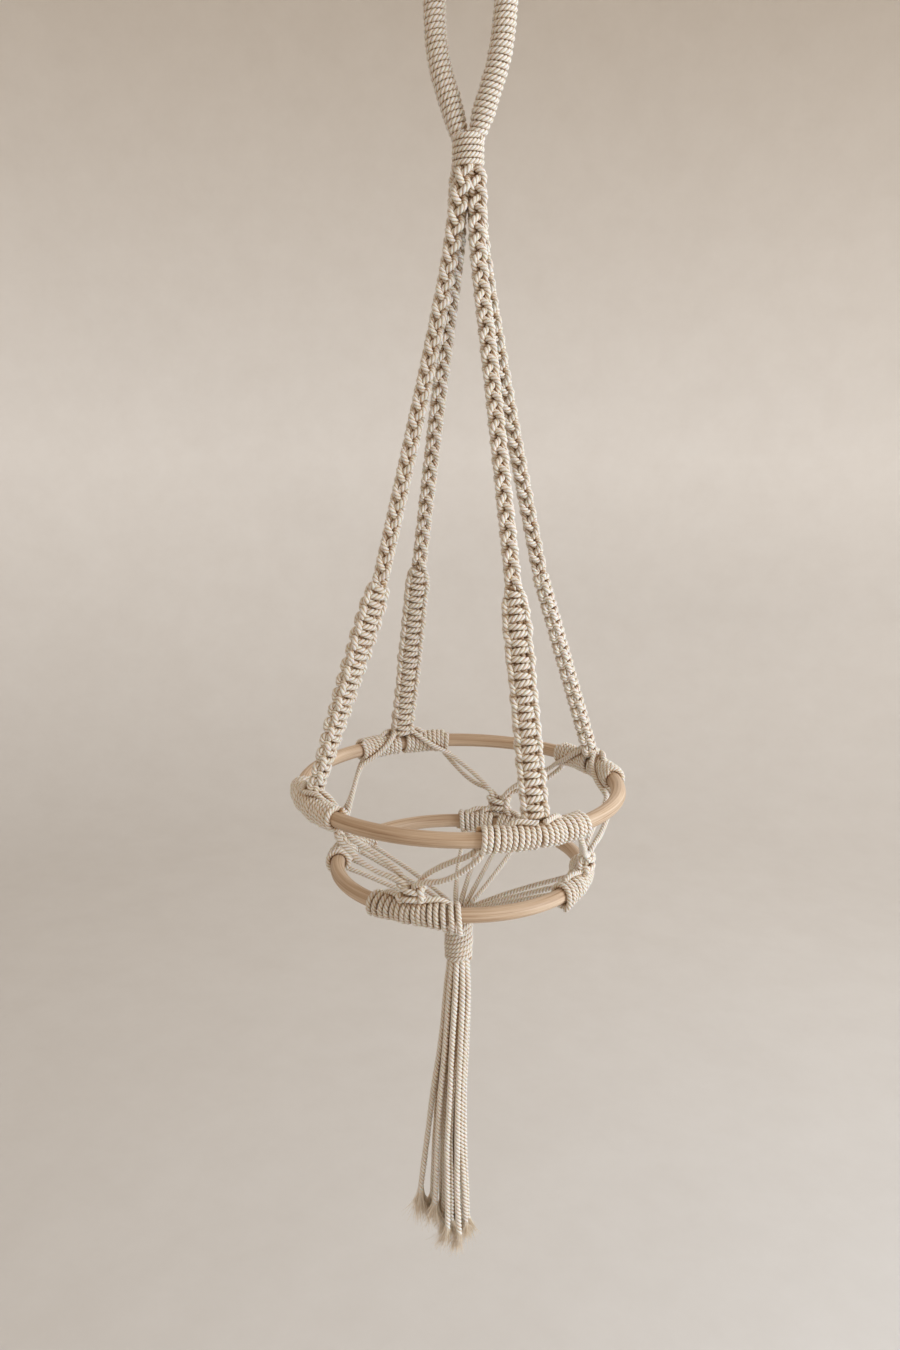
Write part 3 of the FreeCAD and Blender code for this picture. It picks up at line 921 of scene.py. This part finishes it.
def add_tassel():
    """Sixteen loose cords that hang from the wrap, each with a frayed end."""
    first_height = TASSEL_LINE[0][1]
    last_lean, last_height, last_spread, last_stray = TASSEL_LINE[-1]
    for number, ((distance, degrees), tail) in enumerate(zip(TASSEL_PLACES, TASSEL_TAILS), start=1):
        share = STRAY_SHARES.get(number, 0.0)
        route = [polar(distance * 0.50, degrees, STRAND_TOP)]
        drift = chance.normal(size=3) * 0.0012
        for lean, height, spread, stray in TASSEL_LINE:
            squeeze = 0.72 if height == first_height else 1.0
            depth = (first_height - height) / (first_height - last_height)
            sway = (drift * depth ** 1.5 + chance.normal(size=3) * 0.0006 * min(1, 3 * depth)) * (1, 1, 0)
            aside = polar(lean + stray * share, LEAN_SIDE, 0)
            route.append(polar(distance * spread * squeeze, degrees, height) + aside + sway)
        tip_spread = last_spread + TIP_FLARE * tail
        tip = polar(distance * tip_spread, degrees, last_height - tail)
        tip = tip + polar(last_lean + last_stray * share * 1.1, LEAN_SIDE, 0) + drift * (1.2, 1.2, 0)
        route.append(tip)
        name = "tassel_strand_%02d" % number
        line = spline_points(name, route)
        strand = Cordage()
        strand.cord(line, CORD * 1.09, lay=STRAND_LAY, groove=STRAND_GROOVE)
        piece = strand.piece(name, COTTON)
        fray = add_fray("tassel_fray_%02d" % number, line[-1], line[-1] - line[-4],
                        FRAY_LENGTH - 0.45 * tail)
        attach(piece, "tassel")
        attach(fray, "tassel")
        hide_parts("tassel_cord_%02d" % number)
        float(lengths_along(line)[-1])


add_tassel()

# ---------------------------------------------------------------- stage and light

STAGE_FLOOR = -1.40
STAGE_RADIUS = 3.2
STAGE_CURVE = 1.2                  # radius of the curve between the floor and the wall
STAGE_TOP = 2.6
STAGE_SEGMENTS = 96
CURVE_STEPS = 12
# about the height where the painted shade high on the wall is darkest
FADE_TOP = 1.2


def plaster_material():
    """Pale paint with a faint mottle, and painted shade that makes it a little darker on the floor and high
    up on the wall.
    """
    material, tree, shader = new_material("pale_backdrop")
    link = tree.links.new
    place = node(tree, "ShaderNodeTexCoord")
    mottle = node(tree, "ShaderNodeTexNoise", Scale=9.0, Detail=8.0, Roughness=0.7)
    link(place.outputs["Object"], mottle.inputs["Vector"])
    tone = ramp(tree, mottle.outputs["Fac"], [(0.3, (0.86, 0.84, 0.82)), (0.7, (0.90, 0.885, 0.87))])
    # Painted shade by height: darker on the floor and high up on the wall.
    split = node(tree, "ShaderNodeSeparateXYZ")
    link(place.outputs["Object"], split.inputs["Vector"])
    height = node(tree, "ShaderNodeMapRange")
    height.inputs["From Min"].default_value = STAGE_FLOOR
    height.inputs["From Max"].default_value = FADE_TOP
    link(split.outputs["Z"], height.inputs["Value"])
    painted_height_shade = ramp(tree, height.outputs["Result"], [(0.0, (0.72, 0.72, 0.72)), (0.10, (0.80, 0.80, 0.80)),
                                                 (0.38, WHITE), (0.95, (0.74, 0.70, 0.65))])
    link(multiplied(tree, tone.outputs["Color"], painted_height_shade.outputs["Color"]), shader.inputs["Base Color"])
    shader.inputs["Roughness"].default_value = 0.95
    return material


def add_stage():
    """A round pale floor that curves up into a plain wall all the way round."""
    profile = [(0.0, STAGE_FLOOR), (0.8, STAGE_FLOOR), (STAGE_RADIUS - STAGE_CURVE, STAGE_FLOOR)]
    for step in range(1, CURVE_STEPS + 1):
        angle = math.pi / 2 * step / CURVE_STEPS
        profile.append((STAGE_RADIUS - STAGE_CURVE + STAGE_CURVE * math.sin(angle),
                        STAGE_FLOOR + STAGE_CURVE * (1 - math.cos(angle))))
    profile.append((STAGE_RADIUS, STAGE_TOP))
    places = []
    for radius, height in profile:
        for number in range(STAGE_SEGMENTS):
            places.append(tuple(polar(radius, 360 * number / STAGE_SEGMENTS, height)))
    faces = []
    for row in range(len(profile) - 1):
        low = row * STAGE_SEGMENTS
        high = low + STAGE_SEGMENTS
        for number in range(STAGE_SEGMENTS):
            beside = (number + 1) % STAGE_SEGMENTS
            faces.append((low + number, low + beside, high + beside, high + number))
    mesh = bpy.data.meshes.new("studio_floor")
    mesh.from_pydata(places, [], faces)
    mesh.polygons.foreach_set("use_smooth", np.ones(len(faces), bool))
    mesh.materials.append(plaster_material())
    floor = bpy.data.objects.new("studio_floor", mesh)
    bpy.context.scene.collection.objects.link(floor)


def add_light(name, azimuth, height, distance, size, power, colour, target=(0, 0, -0.45)):
    """A soft square light that faces a target and isn't itself seen.

    Its azimuth is counted from the camera's side, to the right.
    """
    data = bpy.data.lights.new(name, "AREA")
    data.size = size
    data.energy = power
    data.color = colour
    light = bpy.data.objects.new(name, data)
    bpy.context.scene.collection.objects.link(light)
    angle = CAMERA_AZIMUTH + math.radians(azimuth)
    place = Vector((distance * math.sin(angle), -distance * math.cos(angle), height))
    light.location = place
    light.visible_camera = False
    light.rotation_euler = (place - Vector(target)).to_track_quat("Z", "Y").to_euler()


def add_world():
    """Even warm light from all round, so that the shaded side stays soft."""
    world = bpy.data.worlds.new("studio")
    world.use_nodes = True
    background = world.node_tree.nodes["Background"]
    background.inputs["Color"].default_value = (1.0, 0.84, 0.67, 1)
    background.inputs["Strength"].default_value = 0.64
    bpy.context.scene.world = world


add_stage()
add_light("window", 68, -0.12, 1.9, 1.2, 40, (0.90, 0.99, 1.08))
add_light("front_fill", -10, 0.3, 2.3, 2.0, 10, (1.0, 0.89, 0.76))
add_light("wall_light", 115, 0.3, 1.9, 1.2, 8, (1.0, 0.97, 0.93), target=(-0.11, 2.94, -0.5))
add_light("back_fill", 165, 0.5, 2.4, 1.8, 9, (1.0, 0.94, 0.87))
add_world()
bpy.context.scene.view_settings.view_transform = "Standard"
